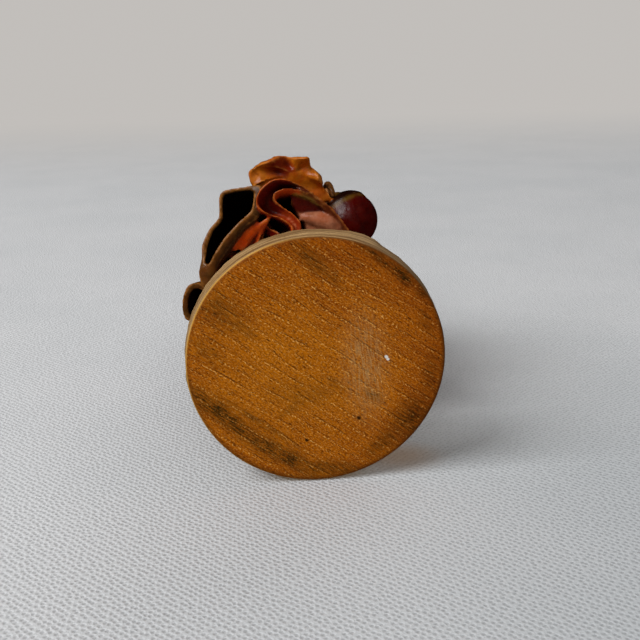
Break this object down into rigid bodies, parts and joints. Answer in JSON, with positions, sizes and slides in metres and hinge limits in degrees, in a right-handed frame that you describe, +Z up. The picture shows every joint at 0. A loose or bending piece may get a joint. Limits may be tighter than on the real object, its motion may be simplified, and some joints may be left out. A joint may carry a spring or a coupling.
{
  "type": "carved wooden girl figurine",
  "caption": "Small carved and stained wooden girl in wind-blown coat, dress and gathered apron, on a turned round base that it stands on by its own weight.",
  "frame": {"origin": "centre of the round base's flat underside", "axes": "+Z up through the figure, -Y to her front, +X to her left"},
  "size_m": [0.0524, 0.0582, 0.1165],
  "materials": {
    "base_wood": "varnished orange-brown underside, paler worn rim",
    "stained_wood": "transparent stains, red, olive and ochre, waxed and antiqued, with worn pale edges"
  },
  "bodies": {
    "root": {"round_base": "base_wood", "carved_girl": "stained_wood"}
  },
  "joints": []
}
